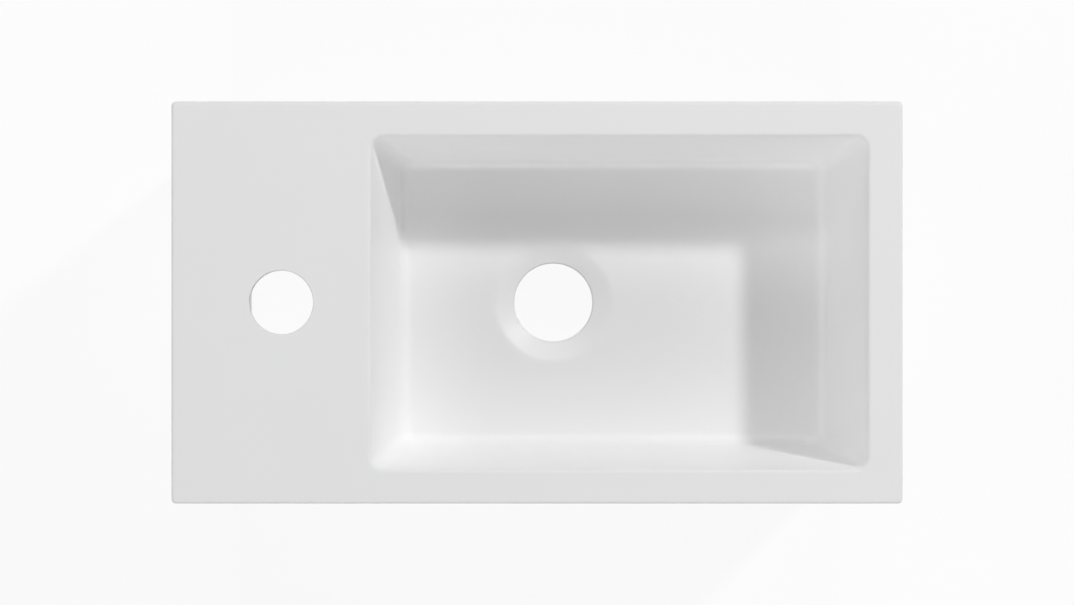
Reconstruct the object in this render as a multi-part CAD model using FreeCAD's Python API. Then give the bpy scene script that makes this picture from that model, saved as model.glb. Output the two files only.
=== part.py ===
"""Compact wall-hung vanity unit: a cast block basin with its tap ledge on the left,
on a shallow one-door cabinet that is open behind and below for the pipes.

Millimetres. +X right, +Y towards the wall, +Z up, origin at the bottom centre.
"""
import FreeCAD, Part
import math
import os

V = FreeCAD.Vector
X_AXIS, Y_AXIS, Z_AXIS = V(1, 0, 0), V(0, 1, 0), V(0, 0, 1)

# Overall sizes
unit_width = 400.0
unit_depth = 220.0
basin_height = 100.0
cabinet_height = 398.0
seal_thickness = 2.0

# Basin
basin_corner = 2.5          # plan radius of the outer corners
basin_edge = 2.0            # rounding of the top outer edge
deck_thickness = 12.0       # under the tap hole
skirt_thickness = 12.0
tap_ledge = 109.0           # from the left side to the bowl
rim_margin = 18.5           # rim width on the other three sides
rim_edge = 2.0              # rounding where the deck turns into the bowl
bowl_depth = 85.0
bowl_corner = 7.5           # plan radius of the bowl's corners
bowl_floor_round = 7.0      # rounding between walls and floor
left_wall_draft = 15.2      # how far the bowl's left wall leans in
right_wall_draft = 19.3     # and its right wall
long_wall_draft = 12.0      # and its front and back walls
bowl_shell = 12.0           # least wall between the bowl and the tap pocket
pocket_corner = 8.0
tap_from_left = 60.0
tap_diameter = 35.0
tap_edge = 0.8
waste_from_left = 209.2
waste_diameter = 44.0
waste_dish_diameter = 66.0
waste_dish_depth = 4.0

# Cabinet boards
side_inset = 3.0            # basin overhang past each side panel
front_overhang = 9.0        # basin overhang past the door
board = 15.0
board_round = 0.6
shelf_depth = 50.0
top_rail_depth = 40.0
hanging_rail_height = 80.0
lower_rail_height = 60.0
shelf_height = 190.0
shelf_end_gap = 0.5
shelf_setback = 6.0
seal_width = 10.0
seal_inset = 2.0

# Board fittings
cam_diameter = 15.0
cam_height = 12.0
cam_from_end = 24.0
cam_bolt_diameter = 6.0
cam_bolt_thread = 5.0
cam_grip = 3.0              # from the cam's axis to the bolt's end
side_bore_depth = 11.0
dowel_diameter = 8.0
dowel_in_rail = 19.0
fitting_spread = 11.0       # cam and dowel either side of a rail's middle
shelf_pin_diameter = 5.0
shelf_pin_reach = 8.0
shelf_pin_inset = 9.0       # from the shelf's front and back edges
fixing_from_side = 80.0     # from the unit's side to each wall hole
fixing_diameter = 9.0
fixing_plate = 40.0
fixing_plate_thickness = 3.0
fixing_screw_spread = 13.0

# Door
door_thickness = 18.0
door_gap = 3.5              # between the door and the carcass
door_reveal = 3.0           # at the top and bottom of the carcass
door_round = 1.0
bumper_diameter = 8.0
bumper_clearance = 0.3
bumper_from_end = 20.0

# Hinges
hinge_from_end = 80.0
pin_from_edge = 8.5
pin_depth = 9.5
pin_diameter = 2.5
eye_wall = 1.5
eye_width = 8.0
eye_side_gap = 0.3          # between the eye and the lugs that hold the pin
pin_lug = 4.0
cup_diameter = 35.0
cup_wall = 0.8
cup_from_edge = 4.0
cup_clearance = 0.35
flange_thickness = 1.0
flange_rim = 1.0            # round the cup
ear_spacing = 48.0
ear_offset = 6.0            # ears sit further from the door's edge
ear_diameter = 12.0
arm_sheet = 2.5
riser_offset = 18.5
arm_width = 14.0
arm_leg = 1.5
arm_length = 60.0
mounting_plate_thickness = 3.0
mounting_plate_width = 16.0
mounting_wing = 12.0
mounting_screw_spacing = 32.0
system_line = 37.0          # screw line behind the carcass front

# Edge pull and catch
pull_length = 120.0
pull_sheet = 2.0
pull_back_leg = 24.0
pull_lip = 14.0
pull_bend = 0.8             # inside radius of the folds
pull_end_round = 0.6
pull_screw_spacing = 80.0
pull_from_top = 145.0       # from the door's top to the pull's middle
catch_from_top = 58.0       # from the carcass's top to the catch's middle
catch_length = 44.0
catch_width = 14.0
catch_depth = 20.0
catch_setback = 0.5
catch_screw_spacing = 30.0
magnet_length = 30.0
magnet_width = 8.0
magnet_depth = 10.0
magnet_clearance = 0.4
strike_thickness = 1.2
strike_length = 38.0
strike_screw_spacing = 19.0

# Screws
wood_screw_diameter = 3.5
wood_screw_head = 6.5
wood_screw_head_height = 1.2
wood_screw_length = 12.0
system_screw_diameter = 5.0
system_screw_head = 8.0
arm_screw_diameter = 5.0

# Clearances
fit = 0.05                  # pieces that sit in bored holes
bolt_clearance = 0.5        # cam bolt in the rail's end bore
same_place = 0.01           # edges nearer than this to a place lie on it

nodes = {}


def box(x0, x1, y0, y1, z0, z1):
    """A box between two corners, given axis by axis in either order."""
    low = V(min(x0, x1), min(y0, y1), min(z0, z1))
    return Part.makeBox(abs(x1 - x0), abs(y1 - y0), abs(z1 - z0), low)


def soft_box(radius, *limits):
    """A box with every edge rounded."""
    solid = box(*limits)
    return solid.makeFillet(radius, solid.Edges)


def rod(diameter, start, end):
    """A round bar between two points."""
    way = end - start
    return Part.makeCylinder(diameter / 2, way.Length, start, way)


def rounded_outline(x0, x1, y0, y1, z, radius):
    """A closed wire of four sides and four quarter arcs at one height."""
    half = radius * (1 - math.sqrt(0.5))
    edges = [
        Part.LineSegment(V(x0 + radius, y0, z), V(x1 - radius, y0, z)),
        Part.Arc(V(x1 - radius, y0, z), V(x1 - half, y0 + half, z), V(x1, y0 + radius, z)),
        Part.LineSegment(V(x1, y0 + radius, z), V(x1, y1 - radius, z)),
        Part.Arc(V(x1, y1 - radius, z), V(x1 - half, y1 - half, z), V(x1 - radius, y1, z)),
        Part.LineSegment(V(x1 - radius, y1, z), V(x0 + radius, y1, z)),
        Part.Arc(V(x0 + radius, y1, z), V(x0 + half, y1 - half, z), V(x0, y1 - radius, z)),
        Part.LineSegment(V(x0, y1 - radius, z), V(x0, y0 + radius, z)),
        Part.Arc(V(x0, y0 + radius, z), V(x0 + half, y0 + half, z), V(x0 + radius, y0, z)),
    ]
    return Part.Wire([edge.toShape() for edge in edges])


def level_edges(solid, z, reach):
    """The edges that lie flat at one height with every end inside the reach box."""
    x0, x1, y0, y1 = reach
    found = []
    for edge in solid.Edges:
        bounds = edge.BoundBox
        flat = abs(bounds.ZMin - z) < same_place and abs(bounds.ZMax - z) < same_place
        inside = (bounds.XMin > x0 - same_place and bounds.XMax < x1 + same_place
                  and bounds.YMin > y0 - same_place and bounds.YMax < y1 + same_place)
        if flat and inside:
            found.append(edge)
    return found


def upright_edges(solid, *places):
    """The edges that stand upright at the given plan places."""
    found = []
    for edge in solid.Edges:
        bounds = edge.BoundBox
        for x, y in places:
            if max(abs(bounds.XMin - x), abs(bounds.XMax - x),
                   abs(bounds.YMin - y), abs(bounds.YMax - y)) < same_place:
                found.append(edge)
    return found


def screw(head_seat, way, shank, length, head, head_height):
    """A flat-headed screw: the head stands on its seat, the shank goes along way."""
    shaft = rod(shank, head_seat, head_seat + way * length)
    cap = rod(head, head_seat, head_seat - way * head_height)
    return shaft.fuse(cap).removeSplitter()


def wood_screw(head_seat, way):
    """A screw of the one size that holds most of the fittings."""
    return screw(head_seat, way, wood_screw_diameter, wood_screw_length,
                 wood_screw_head, wood_screw_head_height)


def screw_bore(head_seat, way, shank, length):
    """The hole that a screw's shank sits in."""
    return rod(shank + 2 * fit, head_seat, head_seat + way * (length + fit))


def wood_screw_bore(head_seat, way):
    """The hole for that screw."""
    return screw_bore(head_seat, way, wood_screw_diameter, wood_screw_length)


# Places that several pieces share
half_width = unit_width / 2
back = unit_depth / 2
basin_bottom = cabinet_height + seal_thickness
deck = basin_bottom + basin_height
side_outer = half_width - side_inset
side_inner = side_outer - board
door_front = -unit_depth / 2 + front_overhang
door_back = door_front + door_thickness
carcass_front = door_back + door_gap
door_bottom = door_reveal
door_top = cabinet_height - door_reveal
rail_front = back - board
rail_bottom = cabinet_height - hanging_rail_height
tap_x = -half_width + tap_from_left
waste_x = -half_width + waste_from_left
fixing_z = rail_bottom + hanging_rail_height / 2


# Basin: a block with a drafted bowl, a tap hole, a dished waste hole and a pocket under the ledge
rim = (-half_width + tap_ledge, half_width - rim_margin, -back + rim_margin, back - rim_margin)
floor_z = deck - bowl_depth
floor_outline = (rim[0] + left_wall_draft, rim[1] - right_wall_draft,
                 rim[2] + long_wall_draft, rim[3] - long_wall_draft)


def make_bowl():
    """The hollow of the bowl: a ruled loft from the rim to the floor, rounded at the floor."""
    top = rounded_outline(*rim, deck, bowl_corner)
    bottom = rounded_outline(*floor_outline, floor_z, bowl_corner)
    hollow = Part.makeLoft([bottom, top], True, True)
    return hollow.makeFillet(bowl_floor_round, level_edges(hollow, floor_z, floor_outline))


def make_basin():
    outline = rounded_outline(-half_width, half_width, -back, back, basin_bottom, basin_corner)
    block = Part.Face(outline).extrude(Z_AXIS * basin_height)
    block = block.makeFillet(basin_edge, level_edges(block, deck, (-half_width, half_width, -back, back)))
    body = block.cut(make_bowl())
    body = body.makeFillet(rim_edge, level_edges(body, deck, rim))
    tap = rod(tap_diameter, V(tap_x, 0, basin_bottom), V(tap_x, 0, deck))
    body = body.cut(tap)
    tap_reach = (tap_x - tap_diameter, tap_x + tap_diameter, -tap_diameter, tap_diameter)
    body = body.makeFillet(tap_edge, level_edges(body, deck, tap_reach))
    dish = Part.makeCone(waste_diameter / 2, waste_dish_diameter / 2, waste_dish_depth,
                         V(waste_x, 0, floor_z - waste_dish_depth))
    body = body.cut(dish)
    body = body.cut(rod(waste_diameter, V(waste_x, 0, basin_bottom), V(waste_x, 0, floor_z)))
    pocket_outline = rounded_outline(-half_width + skirt_thickness, rim[0] - bowl_shell,
                                     -back + skirt_thickness, back - skirt_thickness,
                                     basin_bottom, pocket_corner)
    pocket = Part.Face(pocket_outline).extrude(Z_AXIS * (basin_height - deck_thickness))
    return body.cut(pocket)


def make_seal():
    """A closed strip on the carcass's top edges, which the basin is bedded on."""
    x1 = side_outer - seal_inset
    y0, y1 = carcass_front + seal_inset, back - seal_inset
    outer = box(-x1, x1, y0, y1, cabinet_height, basin_bottom)
    inner = box(-x1 + seal_width, x1 - seal_width, y0 + seal_width, y1 - seal_width,
                cabinet_height, basin_bottom)
    return outer.cut(inner)


nodes["basin"] = make_basin()
nodes["basin_seal"] = make_seal()


# Carcass boards, each with the bores of its own fittings cut later
boards = {
    "left_side_panel": soft_box(board_round, -side_outer, -side_inner, carcass_front, back,
                                0, cabinet_height),
    "right_side_panel": soft_box(board_round, side_inner, side_outer, carcass_front, back,
                                 0, cabinet_height),
    "bottom_shelf": soft_box(board_round, -side_inner, side_inner, carcass_front,
                             carcass_front + shelf_depth, 0, board),
    "front_rail": soft_box(board_round, -side_inner, side_inner, carcass_front,
                           carcass_front + top_rail_depth, cabinet_height - board, cabinet_height),
    "hanging_rail": soft_box(board_round, -side_inner, side_inner, rail_front, back,
                             rail_bottom, cabinet_height),
    "lower_rail": soft_box(board_round, -side_inner, side_inner, rail_front, back,
                           0, lower_rail_height),
}
side_of = {-1: "left_side_panel", 1: "right_side_panel"}

# For each board between the sides: the middle of its section, the way the cams go in,
# and the way along which cam and dowel are spread
shelf_middle = carcass_front + shelf_depth / 2
front_rail_middle = carcass_front + top_rail_depth / 2
board_joints = {
    "bottom_shelf": (V(0, shelf_middle, board / 2), Z_AXIS, Y_AXIS),
    "front_rail": (V(0, front_rail_middle, cabinet_height - board / 2), Z_AXIS, Y_AXIS),
    "hanging_rail": (V(0, back - board / 2, fixing_z), Y_AXIS, Z_AXIS),
    "lower_rail": (V(0, back - board / 2, lower_rail_height / 2), Y_AXIS, Z_AXIS),
}
cams, bolts, dowels = [], [], []


def join_end(name, side, middle, cam_way, spread):
    """One end of a board: a cam, its bolt and a dowel, with their bores in both boards."""
    outward = X_AXIS * side
    end = outward * side_inner
    bolt_line = middle - spread * fitting_spread
    dowel_line = middle + spread * fitting_spread
    cam_axis = bolt_line + end - outward * cam_from_end
    cam_base = cam_axis - cam_way * (board / 2)
    cam = rod(cam_diameter, cam_base, cam_base + cam_way * cam_height)
    slot = rod(cam_bolt_diameter + 2 * bolt_clearance, cam_axis, cam_axis + outward * cam_diameter)
    cams.append(cam.cut(slot))
    bolt_start = cam_axis + outward * cam_grip
    bolt_end = bolt_line + end
    thread_end = bolt_end + outward * side_bore_depth
    bolt = rod(cam_bolt_diameter, bolt_start, bolt_end).fuse(rod(cam_bolt_thread, bolt_end, thread_end))
    bolts.append(bolt.removeSplitter())
    dowel_start = dowel_line + end - outward * dowel_in_rail
    dowel_end = dowel_line + end + outward * side_bore_depth
    dowels.append(rod(dowel_diameter, dowel_start, dowel_end))
    cam_bore = rod(cam_diameter + 2 * fit, cam_base, cam_base + cam_way * (cam_height + fit))
    bolt_bore = rod(cam_bolt_diameter + 2 * bolt_clearance, cam_axis, bolt_end)
    thread_bore = rod(cam_bolt_thread + 2 * fit, bolt_end, thread_end)
    dowel_bore = rod(dowel_diameter + 2 * fit, dowel_start, dowel_end)
    boards[name] = boards[name].cut([cam_bore, bolt_bore, dowel_bore])
    boards[side_of[side]] = boards[side_of[side]].cut([thread_bore, dowel_bore])


for name, (middle, cam_way, spread) in board_joints.items():
    for side in (-1, 1):
        join_end(name, side, middle, cam_way, spread)

# Shallow shelf in front of the pipes, on four pins
shelf_front = carcass_front + shelf_setback
shelf_back = carcass_front + shelf_depth
shelf_side = side_inner - shelf_end_gap
nodes["shelf"] = soft_box(board_round, -shelf_side, shelf_side, shelf_front, shelf_back,
                          shelf_height, shelf_height + board)
shelf_pin_z = shelf_height - shelf_pin_diameter / 2
shelf_pins = []
for side in (-1, 1):
    for row in (shelf_front + shelf_pin_inset, shelf_back - shelf_pin_inset):
        inner_end = V(side * (side_inner - shelf_pin_reach), row, shelf_pin_z)
        bore_end = V(side * (side_inner + shelf_pin_reach), row, shelf_pin_z)
        shelf_pins.append(rod(shelf_pin_diameter, inner_end, bore_end))
        pin_bore = rod(shelf_pin_diameter + 2 * fit, V(side * side_inner, row, shelf_pin_z), bore_end)
        boards[side_of[side]] = boards[side_of[side]].cut(pin_bore)

# Wall fixing: two bored plates on the hanging rail spread the load of the wall screws
plates, plate_screws = [], []
for side in (-1, 1):
    x = side * (half_width - fixing_from_side)
    half = fixing_plate / 2
    plate_front = rail_front - fixing_plate_thickness
    plate = box(x - half, x + half, plate_front, rail_front, fixing_z - half, fixing_z + half)
    bore = rod(fixing_diameter, V(x, plate_front, fixing_z), V(x, back, fixing_z))
    plate = plate.cut(bore)
    boards["hanging_rail"] = boards["hanging_rail"].cut(bore)
    for step in (-1, 1):
        seat = V(x + step * fixing_screw_spread, plate_front, fixing_z + step * fixing_screw_spread)
        plate_screws.append(wood_screw(seat, Y_AXIS))
        plate = plate.cut(wood_screw_bore(seat, Y_AXIS))
        boards["hanging_rail"] = boards["hanging_rail"].cut(wood_screw_bore(seat, Y_AXIS))
    plates.append(plate)
nodes["fixing_plates"] = Part.makeCompound(plates)
nodes["fixing_plate_screws"] = Part.makeCompound(plate_screws)

# Door, hung on the right by two cup hinges that each turn on one pin inside the cup
door_edge = side_outer
door = soft_box(door_round, -door_edge, door_edge, door_front, door_back, door_bottom, door_top)
pin_x = door_edge - pin_from_edge
pin_y = door_back - pin_depth
cup_x = door_edge - cup_from_edge - cup_diameter / 2
eye_radius = pin_diameter / 2 + eye_wall
cup_hollow_depth = pin_depth + eye_radius + cup_clearance
riser_x = pin_x - riser_offset
mount_face = side_inner - mounting_plate_thickness
screw_line = carcass_front + system_line
arm_back = carcass_front + arm_length
cup_screws, mount_screws, arm_screws = [], [], []
door_bores = []


def make_cup(z):
    """The cast cup in the door: two lugs for the pin, a flange on the door's back, two screw ears."""
    centre = V(cup_x, door_back, z)
    wall_depth = cup_hollow_depth + cup_wall
    cup = rod(cup_diameter, centre - Y_AXIS * wall_depth, centre)
    flange_end = centre + Y_AXIS * flange_thickness
    flange = rod(cup_diameter + 2 * flange_rim, centre, flange_end)
    ear_x = cup_x - ear_offset
    ears = box(ear_x - ear_diameter / 2, ear_x + ear_diameter / 2, door_back, flange_end.y,
               z - ear_spacing / 2, z + ear_spacing / 2)
    for side in (-1, 1):
        ear = V(ear_x, door_back, z + side * ear_spacing / 2)
        ears = ears.fuse(rod(ear_diameter, ear, ear + Y_AXIS * flange_thickness))
    cup = cup.fuse([flange, ears]).removeSplitter()
    hollow = rod(cup_diameter - 2 * cup_wall, centre - Y_AXIS * cup_hollow_depth, flange_end)
    lug_start = eye_width / 2 + eye_side_gap
    for side in (-1, 1):
        lug = box(pin_x - eye_radius, door_edge, pin_y - eye_radius - cup_clearance, pin_y + eye_radius,
                  z + side * lug_start, z + side * cup_diameter / 2)
        hollow = hollow.cut(lug)
    return cup.cut(hollow), rod(cup_diameter + 2 * fit, centre - Y_AXIS * (wall_depth + fit), centre)


def make_arm(z):
    """The cranked arm: an eye on the pin, a neck in the cup, a riser and a channel on the plate."""
    half_eye = eye_width / 2
    half_sheet = arm_sheet / 2
    half_arm = arm_width / 2
    eye = rod(2 * eye_radius, V(pin_x, pin_y, z - half_eye), V(pin_x, pin_y, z + half_eye))
    neck = box(riser_x - half_sheet, pin_x, pin_y - half_sheet, pin_y + half_sheet,
               z - half_eye, z + half_eye)
    riser = box(riser_x - half_sheet, riser_x + half_sheet, pin_y - half_sheet, carcass_front,
                z - half_eye, z + half_eye)
    web = box(riser_x - half_sheet, riser_x + half_sheet, carcass_front, arm_back,
              z - half_arm, z + half_arm)
    arm = eye.fuse([neck, riser, web])
    for side in (-1, 1):
        leg = box(riser_x, mount_face, carcass_front, arm_back,
                  z + side * (half_arm - arm_leg), z + side * half_arm)
        arm = arm.fuse(leg)
    pin_bore = rod(pin_diameter + 2 * fit, V(pin_x, pin_y, z - half_eye), V(pin_x, pin_y, z + half_eye))
    return arm.removeSplitter().cut(pin_bore)


def make_mounting_plate(z):
    """The cross-shaped plate on the side panel that the arm is clamped to."""
    half = mounting_plate_width / 2
    wing = mounting_screw_spacing / 2 + mounting_wing / 2
    spine = box(mount_face, side_inner, carcass_front, arm_back, z - half, z + half)
    wings = box(mount_face, side_inner, screw_line - mounting_wing / 2, screw_line + mounting_wing / 2,
                z - wing, z + wing)
    return spine.fuse(wings).removeSplitter()


def add_hinge(name, z):
    """One hinge at a height, with its bores in the door and in the right side panel."""
    cup, cup_bore = make_cup(z)
    half_pin = eye_width / 2 + eye_side_gap + pin_lug
    pin_low, pin_high = V(pin_x, pin_y, z - half_pin), V(pin_x, pin_y, z + half_pin)
    cup = cup.cut(rod(pin_diameter + 2 * fit, pin_low, pin_high))
    door_bores.append(cup_bore)
    for side in (-1, 1):
        seat = V(cup_x - ear_offset, door_back + flange_thickness, z + side * ear_spacing / 2)
        cup_screws.append(wood_screw(seat, -Y_AXIS))
        cup = cup.cut(wood_screw_bore(seat, -Y_AXIS))
        door_bores.append(wood_screw_bore(seat, -Y_AXIS))
    plate = make_mounting_plate(z)
    for side in (-1, 1):
        seat = V(mount_face, screw_line, z + side * mounting_screw_spacing / 2)
        depth = mounting_plate_thickness + side_bore_depth
        mount_screws.append(screw(seat, X_AXIS, system_screw_diameter, depth,
                                  system_screw_head, wood_screw_head_height))
        hole = screw_bore(seat, X_AXIS, system_screw_diameter, depth)
        plate = plate.cut(hole)
        boards["right_side_panel"] = boards["right_side_panel"].cut(hole)
    arm = make_arm(z)
    arm_seat = V(riser_x - arm_sheet / 2, screw_line, z)
    arm_depth = side_inner - arm_seat.x
    arm_screws.append(screw(arm_seat, X_AXIS, arm_screw_diameter, arm_depth,
                            system_screw_head, wood_screw_head_height))
    arm_hole = screw_bore(arm_seat, X_AXIS, arm_screw_diameter, arm_depth)
    nodes[name + "_hinge_cup"] = cup
    nodes[name + "_hinge_pin"] = rod(pin_diameter, pin_low, pin_high)
    nodes[name + "_hinge_arm"] = arm.cut(arm_hole)
    nodes[name + "_mounting_plate"] = plate.cut(arm_hole)


add_hinge("lower", door_bottom + hinge_from_end)
add_hinge("upper", door_top - hinge_from_end)
nodes["hinge_cup_screws"] = Part.makeCompound(cup_screws)
nodes["mounting_plate_screws"] = Part.makeCompound(mount_screws)
nodes["hinge_arm_screws"] = Part.makeCompound(arm_screws)


# Edge pull: a folded aluminium strip round the door's free edge, with a lip in front for the fingers
pull_centre = door_top - pull_from_top


def make_edge_pull():
    """The strip, with rounded folds and soft edges on its two ends."""
    outer = -door_edge - pull_sheet
    lip_front = -unit_depth / 2
    leg_back = door_back + pull_sheet
    z0, z1 = pull_centre - pull_length / 2, pull_centre + pull_length / 2
    back_leg = box(outer, outer + pull_back_leg, door_back, leg_back, z0, z1)
    edge_leg = box(outer, -door_edge, lip_front, leg_back, z0, z1)
    lip = box(outer, outer + pull_lip, lip_front, lip_front + pull_sheet, z0, z1)
    strip = back_leg.fuse([edge_leg, lip]).removeSplitter()
    folds = upright_edges(strip, (-door_edge, door_back), (-door_edge, lip_front + pull_sheet))
    strip = strip.makeFillet(pull_bend, folds)
    corners = upright_edges(strip, (outer, lip_front), (outer, leg_back))
    strip = strip.makeFillet(pull_bend + pull_sheet, corners)
    ends = upright_edges(strip, (outer + pull_lip, lip_front), (outer + pull_lip, lip_front + pull_sheet),
                         (outer + pull_back_leg, leg_back))
    return strip.makeFillet(pull_end_round, ends)


pull = make_edge_pull()
pull_screws = []
for step in (-1, 1):
    seat = V(-door_edge - pull_sheet + pull_back_leg - wood_screw_head, door_back + pull_sheet,
             pull_centre + step * pull_screw_spacing / 2)
    pull_screws.append(wood_screw(seat, -Y_AXIS))
    pull = pull.cut(wood_screw_bore(seat, -Y_AXIS))
    door_bores.append(wood_screw_bore(seat, -Y_AXIS))
nodes["edge_pull"] = pull
nodes["edge_pull_screws"] = Part.makeCompound(pull_screws)

# Magnetic catch on the left side panel, and its strike plate on the door
catch_centre = cabinet_height - catch_from_top
catch_back = carcass_front + catch_depth
catch_inner = -side_inner + catch_width
catch_body = soft_box(board_round, -side_inner, catch_inner, carcass_front + catch_setback, catch_back,
                      catch_centre - catch_length / 2, catch_centre + catch_length / 2)
catch_middle = -side_inner + catch_width / 2
magnet_face = door_back + strike_thickness + magnet_clearance
magnet = box(catch_middle - magnet_width / 2, catch_middle + magnet_width / 2,
             magnet_face, magnet_face + magnet_depth,
             catch_centre - magnet_length / 2, catch_centre + magnet_length / 2)
catch_body = catch_body.cut(magnet)
catch_screws, strike_screws = [], []
strike = box(catch_middle - catch_width / 2, catch_middle + catch_width / 2,
             door_back, door_back + strike_thickness,
             catch_centre - strike_length / 2, catch_centre + strike_length / 2)
for step in (-1, 1):
    catch_seat = V(catch_inner, catch_back - wood_screw_head, catch_centre + step * catch_screw_spacing / 2)
    grip = catch_width + side_bore_depth
    catch_screws.append(screw(catch_seat, -X_AXIS, wood_screw_diameter, grip,
                              wood_screw_head, wood_screw_head_height))
    catch_hole = screw_bore(catch_seat, -X_AXIS, wood_screw_diameter, grip)
    catch_body = catch_body.cut(catch_hole)
    boards["left_side_panel"] = boards["left_side_panel"].cut(catch_hole)
    strike_seat = V(catch_middle, door_back + strike_thickness,
                    catch_centre + step * strike_screw_spacing / 2)
    strike_pin = rod(wood_screw_diameter, strike_seat, strike_seat - Y_AXIS * wood_screw_length)
    strike_screws.append(strike_pin)
    strike_bore = wood_screw_bore(strike_seat, -Y_AXIS)
    strike = strike.cut(strike_bore)
    door_bores.append(strike_bore)
nodes["catch_body"] = catch_body
nodes["catch_magnet"] = magnet
nodes["catch_screws"] = Part.makeCompound(catch_screws)
nodes["strike_plate"] = strike
nodes["strike_screws"] = Part.makeCompound(strike_screws)

# Soft stops on the door's back, where it meets the left side panel
bumpers = []
for z in (door_bottom + bumper_from_end, door_top - bumper_from_end):
    base = V(-(side_inner + side_outer) / 2, door_back, z)
    bumpers.append(rod(bumper_diameter, base, base + Y_AXIS * (door_gap - bumper_clearance)))
nodes["door_bumpers"] = Part.makeCompound(bumpers)

nodes["door_panel"] = door.cut(door_bores)
nodes["shelf_pins"] = Part.makeCompound(shelf_pins)
nodes["cam_discs"] = Part.makeCompound(cams)
nodes["cam_bolts"] = Part.makeCompound(bolts)
nodes["dowels"] = Part.makeCompound(dowels)
nodes.update(boards)

os.makedirs("parts", exist_ok=True)
for name, shape in nodes.items():
    shape.exportStep("parts/" + name + ".step")
    print(name, len(shape.Solids), shape.isValid(), round(shape.Volume))
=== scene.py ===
# %% [markdown]
# # A compact wall-hung vanity unit
# The unit is a cast block basin, 400 by 220 mm, on a shallow cabinet with one door. The cabinet's boards,
# door and hinges arrive as solids with real joints. This file gives every surface its finish, and makes
# again, as smooth surfaces, the pieces whose looks depend on soft edges: the basin first of all.

import bmesh
import bpy
import numpy as np
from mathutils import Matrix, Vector


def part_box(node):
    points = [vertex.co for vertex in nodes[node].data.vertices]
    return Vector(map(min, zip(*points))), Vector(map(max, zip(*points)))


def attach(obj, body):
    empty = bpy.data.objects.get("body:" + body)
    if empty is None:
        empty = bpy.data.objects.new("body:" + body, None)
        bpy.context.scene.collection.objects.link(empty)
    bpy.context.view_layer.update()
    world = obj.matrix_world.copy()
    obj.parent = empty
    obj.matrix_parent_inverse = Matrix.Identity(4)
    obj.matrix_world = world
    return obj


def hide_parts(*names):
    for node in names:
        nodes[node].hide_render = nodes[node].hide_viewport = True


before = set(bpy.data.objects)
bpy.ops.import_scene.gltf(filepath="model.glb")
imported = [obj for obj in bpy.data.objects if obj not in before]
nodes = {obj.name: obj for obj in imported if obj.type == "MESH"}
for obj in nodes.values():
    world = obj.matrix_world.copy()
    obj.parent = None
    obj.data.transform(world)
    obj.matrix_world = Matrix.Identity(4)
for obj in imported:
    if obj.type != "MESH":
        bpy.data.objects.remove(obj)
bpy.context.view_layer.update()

# %% [markdown]
# ## From arrays to pieces
# A surface here is a grid of points: rows of equal length, worked out as whole arrays. Two small functions
# turn such grids into a Blender mesh. The first numbers the four-sided faces between neighbouring points.
# The second puts several grids into one mesh, welds the points that fall on each other, which also closes
# the poles and seams, and turns all faces outwards. Lengths are millimetres up to that point.

# %% Grids into meshes
MM = 0.001                  # metres
WELD = 0.001                # millimetres


def grid_faces(rows, columns, closed):
    """Quads of a grid numbered row by row; in a closed grid the last column meets the first."""
    across = np.arange(columns if closed else columns - 1)
    start = np.arange(rows - 1)[:, None] * columns
    here, beside = start + across, start + (across + 1) % columns
    return np.stack([here, beside, beside + columns, here + columns], axis=-1).reshape(-1, 4)


def make_piece(name, grids, body, replaced):
    """One smooth mesh from (points, closed) grids of rows x columns x 3, riding on a body."""
    points, faces, count = [], [], 0
    for grid, closed in grids:
        rows, columns = grid.shape[:2]
        points.append(grid.reshape(-1, 3) * MM)
        faces.append(grid_faces(rows, columns, closed) + count)
        count += rows * columns
    mesh = bpy.data.meshes.new(name)
    mesh.from_pydata(np.concatenate(points).tolist(), [], np.concatenate(faces).tolist())
    work = bmesh.new()
    work.from_mesh(mesh)
    bmesh.ops.remove_doubles(work, verts=work.verts, dist=WELD * MM)
    bmesh.ops.recalc_face_normals(work, faces=work.faces)
    work.to_mesh(mesh)
    open_edges = sum(edge.is_boundary for edge in work.edges)
    work.free()
    mesh.polygons.foreach_set("use_smooth", np.ones(len(mesh.polygons), bool))
    piece = bpy.data.objects.new(name, mesh)
    bpy.context.scene.collection.objects.link(piece)
    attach(piece, body)
    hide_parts(*replaced)
    print(name, len(mesh.polygons), "faces,", open_edges, "open edges")
    return piece


print("a grid of 3 by 4 points has", len(grid_faces(3, 4, False)), "faces")

# %% [markdown]
# ## Rings and profiles
# Every hollow of the basin is a stack of rings. A ring is either a rounded rectangle or a circle, and all
# rings have the same number of points, so any ring can be joined to any other: the round waste dish to the
# rectangular floor, the tap hole to the ledge around it. A profile says how the rings change on the way
# down. It is drawn as a few straight lines whose corners are then turned into arcs.

# %% Rings of equal length
CORNER_POINTS = 9           # odd, so that one point lies in the middle of a corner
SIDE_POINTS = 23
CHUNK = CORNER_POINTS + SIDE_POINTS
RING = 4 * CHUNK
MIDDLE = (CORNER_POINTS - 1) // 2

sweep = np.linspace(0, 1, CORNER_POINTS)
ROUND = np.stack([np.cos(sweep * np.pi / 2), np.sin(sweep * np.pi / 2)], axis=1)
SQUARE = np.stack([np.minimum(1, 2 - 2 * sweep), np.minimum(1, 2 * sweep)], axis=1)
QUARTER = np.array([[0, 1], [-1, 0]])


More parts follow.
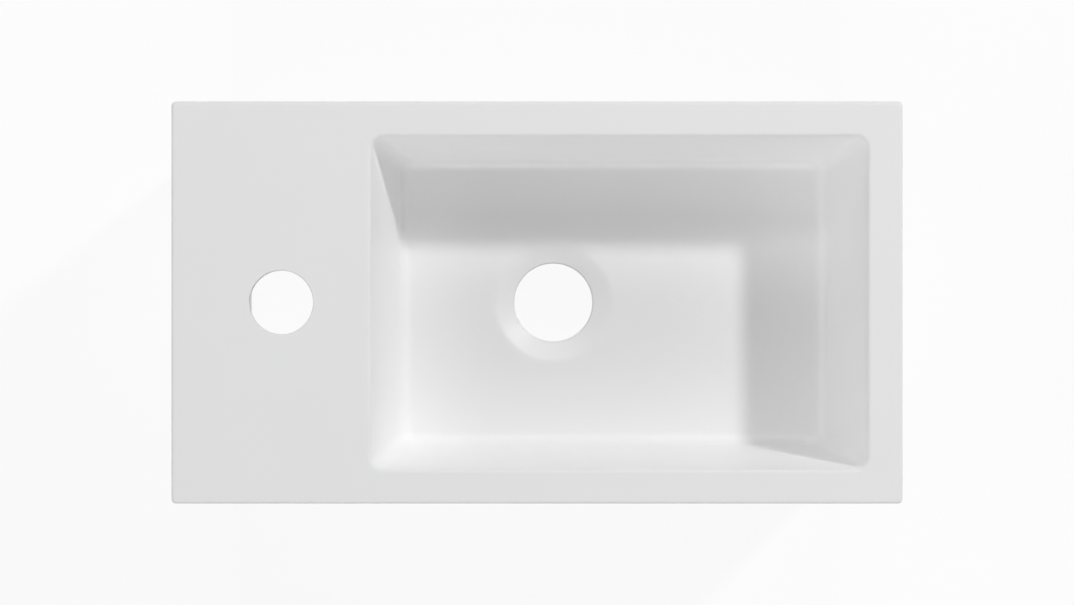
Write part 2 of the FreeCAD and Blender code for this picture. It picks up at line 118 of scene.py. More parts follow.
def rectangle_rings(low, high, radius, z, square=()):
    """Rounded rectangles, one a row: quarter arcs of the radius about the corners' centres, and straight
    sides between them. A corner named in square keeps its point, with the radius as its spacing."""
    low, high, z = (np.atleast_2d(np.asarray(value, float)) for value in (low, high, z))
    radius = np.broadcast_to(np.asarray(radius, float), (z.size, 4))
    rings = np.empty((z.size, 4, CHUNK, 2))
    for corner in range(4):
        spin = np.linalg.matrix_power(QUARTER, corner)
        arc = (SQUARE if corner in square else ROUND) @ spin
        reach = radius[:, corner, None]
        centre = np.where(np.ones(2) @ spin > 0, high - reach, low + reach)
        rings[:, corner, :CORNER_POINTS] = centre[:, None] + reach[:, None] * arc
    ends, starts = rings[:, :, CORNER_POINTS - 1, None], np.roll(rings[:, :, 0, None], -1, axis=1)
    along = (np.arange(SIDE_POINTS)[:, None] + 1) / (SIDE_POINTS + 1)
    rings[:, :, CORNER_POINTS:] = ends * (1 - along) + starts * along
    heights = np.broadcast_to(z.reshape(-1, 1, 1), (z.size, RING, 1))
    return np.concatenate([rings.reshape(z.size, RING, 2), heights], axis=2)


def circle_rings(centre, profile):
    """Circles about an upright axis, one for each (radius, height) of a profile, in step with the
    rectangles: the middle of each corner's points lies on a diagonal."""
    angle = np.pi / 4 + 2 * np.pi * (np.arange(RING) - MIDDLE) / RING
    spokes = np.stack([np.cos(angle), np.sin(angle), np.zeros(RING)], axis=1)
    middle = np.append(np.asarray(centre, float), 0)
    return middle + spokes * profile[:, :1, None] + np.array([0, 0, 1]) * profile[:, 1:, None]


print("rings of", RING, "points")

# %% Profiles with round corners
HOLD = 0.3                  # a held point this far beside an arc keeps the flat next to it flat


def rounded(points, radii, steps=8):
    """A polyline with arcs for its inner corners. Each arc starts and ends radius x tan(turn / 2) from its
    corner, and a held point on either side keeps the shading of the straight runs straight."""
    points = np.asarray(points, float)
    runs = [points[:1]]
    for before, corner, after, radius in zip(points, points[1:], points[2:], radii):
        way_in = (corner - before) / np.linalg.norm(corner - before)
        way_out = (after - corner) / np.linalg.norm(after - corner)
        turn = np.arctan2(way_in[0] * way_out[1] - way_in[1] * way_out[0], way_in @ way_out)
        start = corner - way_in * radius * np.tan(abs(turn) / 2)
        inward = np.array([-way_in[1], way_in[0]]) * np.sign(turn) * radius
        swing = np.linspace(0, abs(turn), steps + 1)[:, None]
        arc = start + inward * (1 - np.cos(swing)) + way_in * radius * np.sin(swing)
        runs.append(np.concatenate([[arc[0] - way_in * HOLD], arc, [arc[-1] + way_out * HOLD]]))
    runs.append(points[-1:])
    return np.concatenate(runs)


print("one round corner takes", len(rounded([(0, 0), (9, 0), (9, 9)], [2.0])), "points with its ends")

# %% [markdown]
# ## The basin
# The real basin is cast in a mould from stone dust and resin, with a gel-coat skin, so every edge is a
# little soft and every wall leans so that it leaves the mould. Bevelling a boxy mesh would pinch where the
# leaning walls, the round corners and the soft rim meet. Here the casting is four grids: one runs from the
# deck down through the tap hole and the pocket below it, one from the deck down the bowl and out of the
# waste hole, and two go round the outside. They share their border points, so they weld into one closed
# skin.

# %% Sizes of the casting
low, high = (np.array(corner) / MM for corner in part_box("basin"))
deck, bottom = high[2], low[2]
block_corner, block_edge, foot_edge = 2.5, 2.0, 0.6
rim_low, rim_high = np.array([-91.0, -91.5]), np.array([181.5, 91.5])
bowl_depth, bowl_corner, rim_edge, floor_round = 85.0, 7.5, 2.0, 7.0
left_lean, long_lean, right_lean = 15.2, 12.0, 19.3
tap_centre, tap_radius, tap_edge, tap_foot = (-140.0, 0.0), 17.5, 0.8, 0.4
waste_centre, waste_radius = (9.2, 0.0), 22.0
dish_radius, dish_depth, dish_lip, dish_foot = 33.0, 4.0, 10.0, 1.5
deck_thickness, pocket_corner, pocket_edge = 12.0, 8.0, 2.0
pocket_low, pocket_high = np.array([-188.0, -98.0]), np.array([-103.0, 98.0])
floor_z, ceiling_z = deck - bowl_depth, deck - deck_thickness
print("bowl", rim_high - rim_low, "mm with its floor at", floor_z)

# %% Hollows of the casting
rim_flat, floor_flat, dish_flat, ceiling_flat, hole_flat = 2.5, 8.0, 5.0, 4.0, 2.0  # flats beside the edges


def hollow_rings(low, high, corner, lean_low, lean_high, profile, depth):
    """Rings of a leaning hollow. A profile point is (distance in from the top edge, height). The part of
    that distance that the front wall's lean doesn't explain is rounding, which the corners share."""
    fall = (deck - profile[:, 1:]) / depth
    rounding = profile[:, :1] - lean_low[1] * fall
    return rectangle_rings(low + lean_low * fall + rounding, high - lean_high * fall - rounding,
                           corner - rounding, profile[:, 1])


bowl_profile = rounded([(-rim_flat, deck), (0, deck), (long_lean, floor_z),
                        (long_lean + floor_flat, floor_z)], [rim_edge, floor_round])
bowl = hollow_rings(rim_low, rim_high, bowl_corner, np.array([left_lean, long_lean]),
                    np.array([right_lean, long_lean]), bowl_profile[:-1], bowl_depth)
waste_profile = rounded([(dish_radius + dish_flat, floor_z), (dish_radius, floor_z),
                         (waste_radius, floor_z - dish_depth), (waste_radius, bottom),
                         (waste_radius + hole_flat, bottom)], [dish_lip, dish_foot, foot_edge])
tap_profile = rounded([(tap_radius + hole_flat, deck), (tap_radius, deck), (tap_radius, ceiling_z),
                       (tap_radius + hole_flat, ceiling_z)], [tap_edge, tap_foot])
pocket_profile = rounded([(ceiling_flat, ceiling_z), (0, ceiling_z), (0, bottom), (-hole_flat, bottom)],
                         [pocket_edge, foot_edge])
upright = np.zeros(2)
pocket = hollow_rings(pocket_low, pocket_high, pocket_corner, upright, upright, pocket_profile,
                      deck - bottom)
print("bowl", bowl.shape, "pocket", pocket.shape)

# %% The casting
parting, parting_spacing = -97.0, 6.0     # the deck's grids meet on this line between tap and bowl
skirt_profile = rounded([(-2 * block_edge, deck), (0, deck), (0, bottom), (-hole_flat, bottom)],
                        [block_edge, foot_edge])[1:-1]


def border_rings(side):
    """The block's outline on one side of the parting line, one ring a skirt point (outset, height)."""
    outset, height = skirt_profile[:, :1], skirt_profile[:, 1]
    edge_low, edge_high = low[:2] - outset, high[:2] + outset
    corner = np.broadcast_to(block_corner + outset, (len(outset), 4)).copy()
    if side < 0:
        square = (0, 3)
        edge_high[:, 0] = parting
    else:
        square = (1, 2)
        edge_low[:, 0] = parting
    corner[:, square] = parting_spacing
    return rectangle_rings(edge_low, edge_high, corner, height, square)


left, right = border_rings(-1), border_rings(1)
tap_grid = np.concatenate([left[:1], circle_rings(tap_centre, tap_profile), pocket, left[-1:]])
bowl_grid = np.concatenate([right[:1], bowl, circle_rings(waste_centre, waste_profile), right[-1:]])
outer_left = left[:, MIDDLE:3 * CHUNK + MIDDLE + 1]
outer_right = np.roll(right, -(2 * CHUNK + MIDDLE), axis=1)[:, :3 * CHUNK + 1]
basin = make_piece("basin_casting",
                   [(tap_grid, True), (bowl_grid, True), (outer_left, False), (outer_right, False)],
                   "cabinet", ["basin"])

# %% [markdown]
# ## Small turned pieces
# Screws, cams, shelf pins and the door's soft stops are all turned shapes: a profile carried round an axis.
# A screw's cross recess could be cut with a Boolean, but that leaves slivers on so small a head. Here it is
# a height field: each point of the head sinks by a depth that depends on how far it lies inside the cross.
# Each shape is made once and then set down on every seat, facing out.

# %% Turned shapes
TURN_POINTS = 64
FLAT_RINGS = 26             # rings on a head's flat, for the recess
CREASE = 0.1                # millimetres of rounding in an edge that should look sharp
X, Y, Z = np.eye(3)


def turned(profile, recess=None):
    """A profile of (radius, height) carried round the height axis. A recess of (arm length, arm width,
    depth) sinks the top: full depth within the cross, with sloping sides a fifth of the arm wide."""
    angle = 2 * np.pi * np.arange(TURN_POINTS) / TURN_POINTS
    x, y = profile[:, :1] * np.cos(angle), profile[:, :1] * np.sin(angle)
    z = np.broadcast_to(profile[:, 1:], x.shape).copy()
    if recess:
        length, width, depth = recess
        slope = width / 5
        across, along = np.minimum(abs(x), abs(y)), np.maximum(abs(x), abs(y))
        inside = np.clip((width / 2 - across) / slope, 0, 1) * np.clip((length / 2 - along) / slope, 0, 1)
        z -= depth * inside * (z > z.max() - WELD)
    return np.stack([x, y, z], axis=2)


def set_down(shape, seat, out):
    """A turned shape moved to its seat, with its height axis along out."""
    side = Y if abs(out @ Z) > 0.5 else Z
    return seat + shape @ np.stack([side, np.cross(out, side), out])


def span(node):
    """Lowest and highest corner of a solid, in millimetres."""
    return [np.array(corner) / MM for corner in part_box(node)]


def middle_height(node):
    """Height of the middle of a solid, in millimetres."""
    return np.mean([corner[2] for corner in span(node)])


print("turned shapes have", TURN_POINTS, "points a ring")

# %% Three screws


def headed(head_radius, head_height, shank_radius, length, soft=0.35, tip=0.5):
    """Profile of a screw from the middle of its head to its tip; the head's flat has rings for a recess."""
    flat = np.linspace(0, head_radius - 2 * soft - HOLD, FLAT_RINGS)[:, None] * [1, 0] + [0, head_height]
    rest = rounded([flat[-1], (head_radius, head_height), (head_radius, 0), (shank_radius, 0),
                    (shank_radius, -length), (0, -length)], [soft, CREASE, CREASE, tip], steps=4)
    return np.concatenate([flat, rest[1:]])


wood_recess, system_recess = (4.2, 1.0, 0.9), (5.0, 1.1, 1.0)
wood_screw = turned(headed(head_radius=3.25, head_height=1.2, shank_radius=1.75, length=11.9), wood_recess)
long_screw = turned(headed(head_radius=3.25, head_height=1.2, shank_radius=1.75, length=24.9), wood_recess)
system_screw = turned(headed(head_radius=4.0, head_height=1.2, shank_radius=2.5, length=13.0),
                      system_recess)
print("one screw", wood_screw.shape)

# %% Screws on their seats
hinge_heights = [middle_height("lower_hinge_arm"), middle_height("upper_hinge_arm")]
pull_height, catch_height = middle_height("edge_pull"), middle_height("catch_body")
ear_x, system_line, pull_screw_x, catch_screw_y = 169.5, -42.5, -181.5, -66.0
ear_half, system_half, pull_half, catch_half = 24.0, 16.0, 40.0, 15.0
wall_hole_x, wall_hole_z, plate_diagonal = 120.0, 358.0, 13.0
cup_back, pull_back = span("lower_hinge_cup")[1][1], span("edge_pull")[1][1]
plate_face, arm_face = span("lower_mounting_plate")[0][0], span("lower_hinge_arm")[0][0]
catch_face, fixing_face = span("catch_body")[1][0], span("fixing_plates")[0][1]
both = (-1, 1)
screws = {
    "hinge_cup_screws": ("door", wood_screw, Y, [
        (ear_x, cup_back, z + way * ear_half) for z in hinge_heights for way in both]),
    "mounting_plate_screws": ("cabinet", system_screw, -X, [
        (plate_face, system_line, z + way * system_half) for z in hinge_heights for way in both]),
    "hinge_arm_screws": ("cabinet", system_screw, -X, [(arm_face, system_line, z) for z in hinge_heights]),
    "edge_pull_screws": ("door", wood_screw, Y, [
        (pull_screw_x, pull_back, pull_height + way * pull_half) for way in both]),
    "catch_screws": ("cabinet", long_screw, X, [
        (catch_face, catch_screw_y, catch_height + way * catch_half) for way in both]),
    "fixing_plate_screws": ("cabinet", wood_screw, -Y, [
        (side * wall_hole_x + way * plate_diagonal, fixing_face, wall_hole_z + way * plate_diagonal)
        for side in both for way in both]),
}
cross_heads = [make_piece("cross_head_" + node, [(set_down(shape, seat, out), True) for seat in seats],
                          body, [node])
               for node, (body, shape, out, seats) in screws.items()]

# %% Cams
cam_x, cam_radius, cam_depth, cam_recess = 158.0, 7.5, 4.0, (6.0, 1.6, 2.2)
cam_edge, cam_foot, cam_border = 0.5, 0.3, 1.2
level_boards = {"bottom_shelf": -65.5, "front_rail": -70.5}     # boards that lie flat, and their cams' y
upright_boards = {"hanging_rail": 347.0, "lower_rail": 19.0}    # boards that stand, and their cams' z
cam_flat = np.linspace(0, cam_radius - cam_border, FLAT_RINGS)[:, None] * [1, 0]
cam_wall = rounded([cam_flat[-1], (cam_radius, 0), (cam_radius, -cam_depth), (0, -cam_depth)],
                   [cam_edge, cam_foot], steps=4)
cam = turned(np.concatenate([cam_flat, cam_wall[1:]]), cam_recess)
cam_seats = [((side * cam_x, y, span(board)[0][2]), -Z)
             for side in both for board, y in level_boards.items()]
cam_seats += [((side * cam_x, span(board)[0][1], z), -Y)
              for side in both for board, z in upright_boards.items()]
cams = make_piece("cam_heads", [(set_down(cam, seat, out), True) for seat, out in cam_seats],
                  "cabinet", ["cam_discs"])

# %% Shelf pins and soft stops
pin_radius, pin_half, pin_edge, pin_rows = 2.5, 8.0, 0.9, (-64.5, -38.5)
pin = turned(rounded([(0, pin_half), (pin_radius, pin_half), (pin_radius, -pin_half), (0, -pin_half)],
                     [pin_edge, pin_edge]))
pin_wall, pin_z = span("right_side_panel")[0][0], span("shelf")[0][2] - pin_radius
pins = make_piece("round_end_pins", [(set_down(pin, (side * pin_wall, y, pin_z), side * X), True)
                                     for side in both for y in pin_rows],
                  "cabinet", ["shelf_pins"])

stop_shoulder, stop_wall, dome_round, wall_round = 1.2, 0.6, 3.0, 0.8
(stop_x, stop_base, stop_low), (stop_end, stop_top, stop_high) = span("door_bumpers")
stop_radius, stop_height = (stop_end - stop_x) / 2, stop_top - stop_base
stop = turned(rounded([(0, stop_height), (stop_radius - stop_shoulder, stop_height),
                       (stop_radius, stop_wall), (stop_radius, 0), (0, 0)],
                      [dome_round, wall_round, CREASE], steps=6))
stops = make_piece("domed_stops", [(set_down(stop, (stop_x + stop_radius, stop_base, z), Y), True)
                                   for z in (stop_low + stop_radius, stop_high - stop_radius)],
                   "door", ["door_bumpers"])

# %% [markdown]
# ## Finishes
# Colours are written as sRGB hex, as one reads them off a screen, and Blender wants linear light, so one
# function converts them. Another adds a node with its settings and its inputs. A few short helpers start a
# material, scale a pattern by its real size and put a finish on solids. Each material then reads as a list
# of its nodes.

# %% Colour and nodes


def linear(hex_colour):
    """sRGB hex to linear RGBA: c / 12.92 below 0.04045, else ((c + 0.055) / 1.055) to the power 2.4."""
    c = np.array([int(hex_colour[i:i + 2], 16) for i in (1, 3, 5)]) / 255
    return (*np.where(c <= 0.04045, c / 12.92, ((c + 0.055) / 1.055) ** 2.4).tolist(), 1.0)


def feed(tree, node, inputs):
    """Sets a node's inputs by name or number: a socket becomes a link, anything else a fixed value."""
    for socket, value in inputs.items():
        if isinstance(value, bpy.types.NodeSocket):
            tree.links.new(value, node.inputs[socket])
        else:
            node.inputs[socket].default_value = value


def add_node(tree, kind, inputs=None, **settings):
    """Adds one node with its settings and its inputs."""
    node = tree.nodes.new("ShaderNode" + kind)
    for name, value in settings.items():
        setattr(node, name, value)
    feed(tree, node, inputs or {})
    return node


def per_mm(size):
    """Texture scale at which one cell of a pattern is this many millimetres wide."""
    return 1 / (size * MM)


def start_material(name):
    """A material with its Principled shader, and the Object coordinates that every pattern reads."""
    material = bpy.data.materials.new(name)
    material.use_nodes = True
    tree = material.node_tree
    return material, tree, tree.nodes["Principled BSDF"], add_node(tree, "TexCoord").outputs["Object"]


def dress(material, *names):
    """Gives solids that came with the frame their finish."""
    for name in names:
        nodes[name].data.materials.clear()
        nodes[name].data.materials.append(material)
    print(material.name, "on", ", ".join(names))


print("middle grey in linear light", np.round(linear("#808080"), 3))

# %% [markdown]
# ### Gel-coated cast stone
# The gel-coat is a white polyester skin, sprayed into the mould before the stone-filled resin. It is satin:
# broad soft highlights, no mirror. Close up it has a very slight orange peel about 4 mm across, and its
# gloss varies a little where it was wiped when it left the mould. A picture could hold such marks, but it
# would need the surface unwrapped. Two noises in the piece's own coordinates need no unwrapping: one bends
# the surface for the peel, the other varies tint and gloss.

# %% Gel coat
gel_coat, tree, shader, place = start_material("gel_coated_cast_stone")
peel = add_node(tree, "TexNoise", {"Vector": place, "Scale": per_mm(4), "Detail": 2.0})
wiped = add_node(tree, "TexNoise", {"Vector": place, "Scale": per_mm(45), "Detail": 3.0})
tint = add_node(tree, "Mix", {"Factor": wiped.outputs["Fac"], 6: linear("#f9f9f9"), 7: linear("#fbfbfb")},
                data_type="RGBA")
gloss = add_node(tree, "MapRange", {"Value": wiped.outputs["Fac"], "To Min": 0.34, "To Max": 0.46})
bump = add_node(tree, "Bump", {"Height": peel.outputs["Fac"], "Strength": 0.03, "Distance": 0.2 * MM})
feed(tree, shader, {"Base Color": tint.outputs[2], "Roughness": gloss.outputs["Result"],
                    "Normal": bump.outputs["Normal"], "IOR": 1.5})
basin.data.materials.append(gel_coat)
print(gel_coat.name, "on", basin.name)

# %% [markdown]
# ### Melamine-faced board
# The carcass is chipboard under a printed melamine paper, pressed against a fine pearl texture about 0.6 mm
# across. Its front edges carry a band 0.8 mm thick, and the glue line behind the band shows as a hairline.
# A real hairline is about 0.1 mm wide; it is drawn at 0.3 mm so that it shows. It could be a thin piece of
# its own. Here it is a tint at one depth behind the front edge, which costs no piece.

# %% Melamine
band_depth, glue_line, glue_shade = 0.8, 0.3, 0.35
band_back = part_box("left_side_panel")[0].y + band_depth * MM
melamine, tree, shader, place = start_material("white_melamine_board")
pearl = add_node(tree, "TexVoronoi", {"Vector": place, "Scale": per_mm(0.6)}, feature="SMOOTH_F1")
cloud = add_node(tree, "TexNoise", {"Vector": place, "Scale": per_mm(60), "Detail": 4.0})
tint = add_node(tree, "Mix", {"Factor": cloud.outputs["Fac"], 6: linear("#f2f2f1"), 7: linear("#f6f6f5")},
                data_type="RGBA")
depth = add_node(tree, "SeparateXYZ", {"Vector": place})
seam = add_node(tree, "Math", {0: depth.outputs["Y"], 1: band_back, 2: glue_line * MM / 2},
                operation="COMPARE")
faint = add_node(tree, "Math", {0: seam.outputs["Value"], 1: glue_shade}, operation="MULTIPLY")
lined = add_node(tree, "Mix", {"Factor": faint.outputs["Value"], 6: tint.outputs[2],
                               7: linear("#a9a296")}, data_type="RGBA")
gloss = add_node(tree, "MapRange", {"Value": cloud.outputs["Fac"], "To Min": 0.42, "To Max": 0.52})
bump = add_node(tree, "Bump", {"Height": pearl.outputs["Distance"], "Strength": 0.12,
                               "Distance": 0.05 * MM})
feed(tree, shader, {"Base Color": lined.outputs[2], "Roughness": gloss.outputs["Result"],
                    "Normal": bump.outputs["Normal"], "IOR": 1.5})
dress(melamine, "left_side_panel", "right_side_panel", "bottom_shelf", "front_rail", "hanging_rail",
      "lower_rail", "shelf")

# %% [markdown]
# ### Satin lacquer
# The door is fibreboard sprayed with white satin lacquer. Spraying leaves an orange peel about 1.5 mm
# across, a little stronger than a cast skin's, and the paint is a hair warmer than the basin. So it is made
# as the gel-coat is, with a finer and stronger peel and more gloss.

# %% Lacquer
lacquer, tree, shader, place = start_material("satin_lacquer_on_fibreboard")
peel = add_node(tree, "TexNoise", {"Vector": place, "Scale": per_mm(1.5), "Detail": 1.0})
cloud = add_node(tree, "TexNoise", {"Vector": place, "Scale": per_mm(80), "Detail": 3.0})
tint = add_node(tree, "Mix", {"Factor": cloud.outputs["Fac"], 6: linear("#f6f6f5"), 7: linear("#f9f9f8")},
                data_type="RGBA")
gloss = add_node(tree, "MapRange", {"Value": cloud.outputs["Fac"], "To Min": 0.28, "To Max": 0.38})
bump = add_node(tree, "Bump", {"Height": peel.outputs["Fac"], "Strength": 0.06, "Distance": 0.1 * MM})
feed(tree, shader, {"Base Color": tint.outputs[2], "Roughness": gloss.outputs["Result"],
                    "Normal": bump.outputs["Normal"], "IOR": 1.5})
dress(lacquer, "door_panel")

# %% [markdown]
# ### Plated metals
# The hinges, plates and pins are pressed steel under bright nickel, which is slightly warm. Tumbling before
# plating leaves fine scratches in all directions. Screws are zinc plated, cooler and cloudier. The cams are
# die-cast zinc, grey and grainy from the die. A metal's colour is its reflection, so each keeps the default
# IOR and differs in colour, in roughness and in the size of its marks. All three have the same nodes, so
# one loop makes them.

# %% Nickel, zinc plate and die-cast zinc
plated = {}
for name, dark, light, rough_low, rough_high, cloud_mm, mark_mm, mark in (
        ("nickel_plated_steel", "#b9b4aa", "#cdc8be", 0.22, 0.36, 9.0, 0.5, 0.05),
        ("zinc_plated_steel", "#aeb4ba", "#ccd0d3", 0.30, 0.48, 3.0, 0.4, 0.08),
        ("die_cast_zinc", "#9a9c9e", "#b4b5b6", 0.42, 0.60, 2.5, 0.6, 0.25)):
    plated[name], tree, shader, place = start_material(name)
    cloud = add_node(tree, "TexNoise", {"Vector": place, "Scale": per_mm(cloud_mm), "Detail": 3.0})
    marks = add_node(tree, "TexNoise", {"Vector": place, "Scale": per_mm(mark_mm), "Detail": 4.0})
    tint = add_node(tree, "Mix", {"Factor": cloud.outputs["Fac"], 6: linear(dark), 7: linear(light)},
                    data_type="RGBA")
    gloss = add_node(tree, "MapRange", {"Value": cloud.outputs["Fac"], "To Min": rough_low,
                                        "To Max": rough_high})
    bump = add_node(tree, "Bump", {"Height": marks.outputs["Fac"], "Strength": mark, "Distance": 0.05 * MM})
    feed(tree, shader, {"Base Color": tint.outputs[2], "Roughness": gloss.outputs["Result"],
                        "Normal": bump.outputs["Normal"], "Metallic": 1.0})
dress(plated["nickel_plated_steel"], "fixing_plates", "strike_plate", "lower_hinge_cup", "lower_hinge_arm",
      "lower_mounting_plate", "upper_hinge_cup", "upper_hinge_arm", "upper_mounting_plate")
dress(plated["zinc_plated_steel"], "strike_screws", "lower_hinge_pin", "upper_hinge_pin", "cam_bolts")
for piece in cross_heads:
    piece.data.materials.append(plated["zinc_plated_steel"])
pins.data.materials.append(plated["nickel_plated_steel"])
cams.data.materials.append(plated["die_cast_zinc"])

# %% [markdown]
# ### Brushed anodised aluminium
# The edge pull is brushed along its length before it is anodised. The brush lines are about 0.2 mm apart
# and tens of millimetres long, so the noise is squeezed across the strip and stretched along it. An
# anisotropic shader could give the same sheen from afar, but lines of noise also show close up.

# %% Aluminium
aluminium, tree, shader, place = start_material("brushed_anodised_aluminium")
stretch = add_node(tree, "Mapping", {"Vector": place, "Scale": (per_mm(0.2), per_mm(0.2), per_mm(35))})
lines = add_node(tree, "TexNoise", {"Vector": stretch.outputs["Vector"], "Scale": 1.0, "Detail": 3.0})
tint = add_node(tree, "Mix", {"Factor": lines.outputs["Fac"], 6: linear("#aeafb1"), 7: linear("#c8c9cb")},
                data_type="RGBA")
gloss = add_node(tree, "MapRange", {"Value": lines.outputs["Fac"], "To Min": 0.26, "To Max": 0.42})
bump = add_node(tree, "Bump", {"Height": lines.outputs["Fac"], "Strength": 0.15, "Distance": 0.03 * MM})
feed(tree, shader, {"Base Color": tint.outputs[2], "Roughness": gloss.outputs["Result"],
                    "Normal": bump.outputs["Normal"], "Metallic": 1.0})
dress(aluminium, "edge_pull")

# %% [markdown]
# ### The rest: foam, plastic, ferrite, rubber and beech
# The basin beds on closed-cell foam with cells about 0.8 mm wide. The catch is ABS from a spark-eroded
# mould, finely frosted. Its magnet is sintered ferrite, charcoal grey with a ground face. The soft stops
# are clear polyurethane, which lets light through. The dowels are beech, with short darker flecks along the
# grain. These pieces are small or hidden, so one pattern is enough for each.

# %% Foam
foam, tree, shader, place = start_material("closed_cell_foam")
cells = add_node(tree, "TexVoronoi", {"Vector": place, "Scale": per_mm(0.8)}, feature="SMOOTH_F1")
tint = add_node(tree, "Mix", {"Factor": cells.outputs["Distance"], 6: linear("#dcdcd9"),
                              7: linear("#c9c9c6")}, data_type="RGBA")
bump = add_node(tree, "Bump", {"Height": cells.outputs["Distance"], "Strength": 0.5, "Distance": 0.2 * MM},
                invert=True)
feed(tree, shader, {"Base Color": tint.outputs[2], "Roughness": 0.85, "Normal": bump.outputs["Normal"]})
dress(foam, "basin_seal")

# %% ABS
abs_plastic, tree, shader, place = start_material("frosted_white_abs")
frost = add_node(tree, "TexNoise", {"Vector": place, "Scale": per_mm(0.35), "Detail": 2.0})
tint = add_node(tree, "Mix", {"Factor": frost.outputs["Fac"], 6: linear("#e4e4e0"), 7: linear("#f0f0ed")},
                data_type="RGBA")
bump = add_node(tree, "Bump", {"Height": frost.outputs["Fac"], "Strength": 0.3, "Distance": 0.05 * MM})
feed(tree, shader, {"Base Color": tint.outputs[2], "Roughness": 0.5, "Normal": bump.outputs["Normal"],
                    "IOR": 1.53})
dress(abs_plastic, "catch_body")

# %% Ferrite
ferrite, tree, shader, place = start_material("sintered_ferrite")
ground = add_node(tree, "Mapping", {"Vector": place, "Scale": (per_mm(0.3), per_mm(4), per_mm(4))})
grind = add_node(tree, "TexNoise", {"Vector": ground.outputs["Vector"], "Scale": 1.0, "Detail": 4.0})
tint = add_node(tree, "Mix", {"Factor": grind.outputs["Fac"], 6: linear("#29292b"), 7: linear("#4a4a4d")},
                data_type="RGBA")
bump = add_node(tree, "Bump", {"Height": grind.outputs["Fac"], "Strength": 0.2, "Distance": 0.05 * MM})
feed(tree, shader, {"Base Color": tint.outputs[2], "Roughness": 0.55, "Normal": bump.outputs["Normal"]})
dress(ferrite, "catch_magnet")

# %% Polyurethane
polyurethane, tree, shader, place = start_material("clear_polyurethane")
dust = add_node(tree, "TexNoise", {"Vector": place, "Scale": per_mm(1.2), "Detail": 3.0})
gloss = add_node(tree, "MapRange", {"Value": dust.outputs["Fac"], "To Min": 0.08, "To Max": 0.25})
feed(tree, shader, {"Base Color": linear("#f3f5f3"), "Roughness": gloss.outputs["Result"], "IOR": 1.49,
                    "Transmission Weight": 0.8})
stops.data.materials.append(polyurethane)
print(polyurethane.name, "on", stops.name)

# %% Beech
beech, tree, shader, place = start_material("planed_beech")
grain = add_node(tree, "Mapping", {"Vector": place, "Scale": (per_mm(9), per_mm(0.6), per_mm(0.6))})
flecks = add_node(tree, "TexNoise", {"Vector": grain.outputs["Vector"], "Scale": 1.0, "Detail": 3.0})
tint = add_node(tree, "Mix", {"Factor": flecks.outputs["Fac"], 6: linear("#b98a5c"), 7: linear("#dcbb90")},
                data_type="RGBA")
bump = add_node(tree, "Bump", {"Height": flecks.outputs["Fac"], "Strength": 0.2, "Distance": 0.05 * MM})
feed(tree, shader, {"Base Color": tint.outputs[2], "Roughness": 0.6, "Normal": bump.outputs["Normal"]})
dress(beech, "dowels")

# %% [markdown]
# ## Studio
# The photograph looks straight down from far away, so the camera hangs three metres above the deck with a
# long lens. The lens follows from how much of the picture's width the unit fills.

# %% Camera
photo_width, unit_in_photo = 1074, 731.5    # pixels from side to side
sensor, distance = 36.0, 3.0                # millimetres, metres
unit_width = (high[0] - low[0]) * MM
camera_data = bpy.data.cameras.new("overhead_camera")
camera_data.sensor_width = sensor
camera_data.lens = sensor * distance / (unit_width * photo_width / unit_in_photo)
camera = bpy.data.objects.new("overhead_camera", camera_data)
camera.location = (0, 0, deck * MM + distance)
bpy.context.scene.collection.objects.link(camera)
bpy.context.scene.camera = camera
print("lens", round(camera_data.lens, 1), "mm")

# %% [markdown]
# ### Lights
# Soft light comes from all four sides. Four wide low lights reach the bowl's walls and the cabinet, and
# three narrower ones stand higher and open the shadow in the bowl, which low light alone would leave dark
# behind the rim. They are suns, so they are equally strong everywhere.
#
# The key light draws that shadow. It is a round lamp above the back right, set so that the shadow of the
# rim's back right corner falls where it should. A sun would light the deck evenly. This lamp is near enough
# for its light to fall off towards the left, and wide enough for the shadow's edge to be soft.

# %% Fill lights
fill_lights = {             # azimuth from the right, elevation and width in degrees, and strength
    "left": (180, 20, 40, 0.63),
    "front": (270, 22, 40, 0.50),
    "right": (0, 20, 30, 0.30),
    "back": (90, 20, 30, 0.37),
    "high_left": (180, 45, 20, 0.22),
    "high_front": (270, 36, 15, 0.50),
    "high_back": (90, 58, 9, 0.36),
}
for name, (azimuth, elevation, width, strength) in fill_lights.items():
    lamp_data = bpy.data.lights.new(name + "_light", "SUN")
    lamp_data.energy, lamp_data.angle = strength, np.radians(width)
    lamp = bpy.data.objects.new(name + "_light", lamp_data)
    bearing, rise = np.radians([azimuth, elevation])
    towards = Vector((np.cos(bearing) * np.cos(rise), np.sin(bearing) * np.cos(rise), np.sin(rise)))
    lamp.rotation_euler = towards.to_track_quat("Z", "Y").to_euler()
    bpy.context.scene.collection.objects.link(lamp)
print(len(fill_lights), "fill lights")

# %% Key light
key_height, key_width, key_power = 3.0, 0.36, 76.0     # metres above the rim, metres across, watts
shadow_slope = (0.785, 0.720)   # how far the rim's shadow moves left and forward for each step down
rim_corner = np.append(rim_high, deck) * MM
key_place = rim_corner + key_height * np.array([*shadow_slope, 1])
key_data = bpy.data.lights.new("key_light", "AREA")
key_data.shape, key_data.size, key_data.energy = "DISK", key_width, key_power
key = bpy.data.objects.new("key_light", key_data)
key.location = key_place
key.rotation_euler = Vector(key_place - rim_corner).to_track_quat("Z", "Y").to_euler()
key.visible_camera = False
bpy.context.scene.collection.objects.link(key)
print("key light at", key_place.round(2), "m")

# %% [markdown]
# ### Sky and floor
# The photograph's ground is plain white without a horizon. The sky and the floor look white to the camera,
# in reflections and through clear rubber, and give hardly any light of their own to the unit. A grey layer
# in the floor still takes the shadows. That layer is pale to light that bounces, as paper is, so the unit's
# sides aren't left dark.

# %% Sky
sky_strength, sky_look = 0.07, 0.965


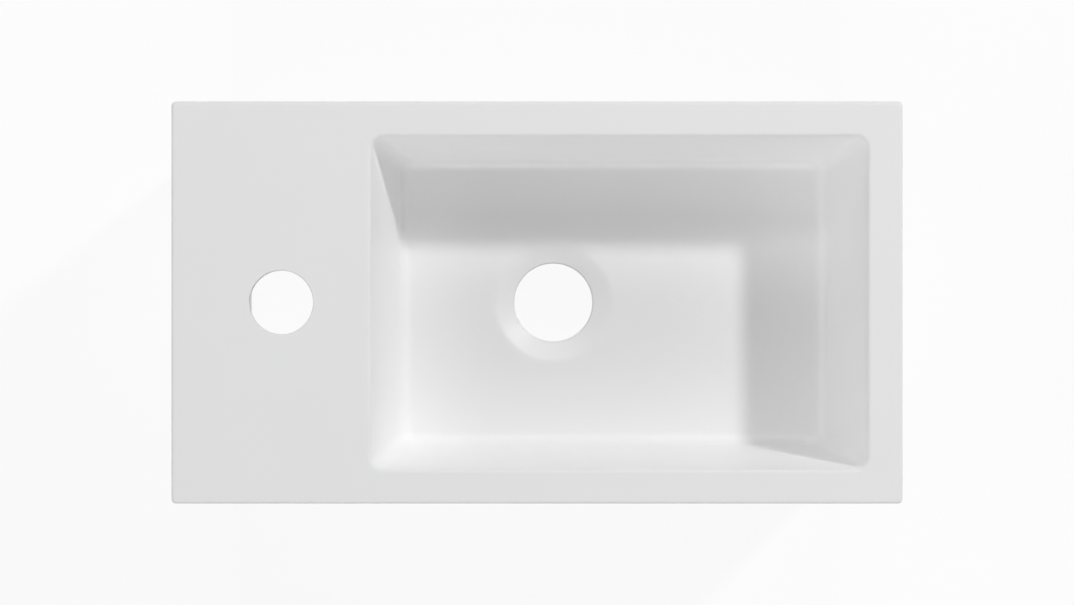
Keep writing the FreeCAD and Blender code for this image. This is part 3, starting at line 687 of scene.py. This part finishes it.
def showing_rays(tree, path):
    """A socket that is 1 for rays that show a thing as it looks: the greatest of a light path's camera,
    glossy and transmission outputs."""
    showing = path.outputs["Is Camera Ray"]
    for kind in ("Is Glossy Ray", "Is Transmission Ray"):
        either = add_node(tree, "Math", {0: showing, 1: path.outputs[kind]}, operation="MAXIMUM")
        showing = either.outputs["Value"]
    return showing


world = bpy.data.worlds.new("studio_sky")
world.use_nodes = True
bpy.context.scene.world = world
tree = world.node_tree
showing = showing_rays(tree, add_node(tree, "LightPath"))
sky_level = add_node(tree, "Mix", {"Factor": showing, "A": sky_strength, "B": sky_look})
feed(tree, tree.nodes["Background"], {"Color": linear("#ffffff"), "Strength": sky_level.outputs["Result"]})
print("sky of", sky_strength, "that looks like", sky_look)

# %% Floor
floor_half, floor_glow, shadow_grey, bounce_grey = 6.0, 0.88, "#626262", "#d8d8d8"
sheet = bpy.data.meshes.new("studio_floor")
sheet.from_pydata([(-floor_half, -floor_half, 0), (floor_half, -floor_half, 0),
                   (floor_half, floor_half, 0), (-floor_half, floor_half, 0)], [], [(0, 1, 2, 3)])
floor = bpy.data.objects.new("studio_floor", sheet)
bpy.context.scene.collection.objects.link(floor)
paper = bpy.data.materials.new("white_studio_paper")
paper.use_nodes = True
tree = paper.node_tree
path = add_node(tree, "LightPath")
glow = add_node(tree, "Math", {0: showing_rays(tree, path), 1: floor_glow}, operation="MULTIPLY")
white = add_node(tree, "Emission", {"Strength": glow.outputs["Value"]})
tone = add_node(tree, "Mix", {"Factor": path.outputs["Is Diffuse Ray"], 6: linear(shadow_grey),
                              7: linear(bounce_grey)}, data_type="RGBA")
grey = add_node(tree, "BsdfDiffuse", {"Color": tone.outputs[2]})
layered = add_node(tree, "AddShader", {0: white.outputs["Emission"], 1: grey.outputs["BSDF"]})
feed(tree, tree.nodes["Material Output"], {"Surface": layered.outputs["Shader"]})
tree.nodes.remove(tree.nodes["Principled BSDF"])
sheet.materials.append(paper)
print("floor", 2 * floor_half, "m across")

# %% [markdown]
# ## Finish
# The picture is shown as it is lit, without a film curve.

# %% View transform
bpy.context.scene.view_settings.view_transform = "Standard"
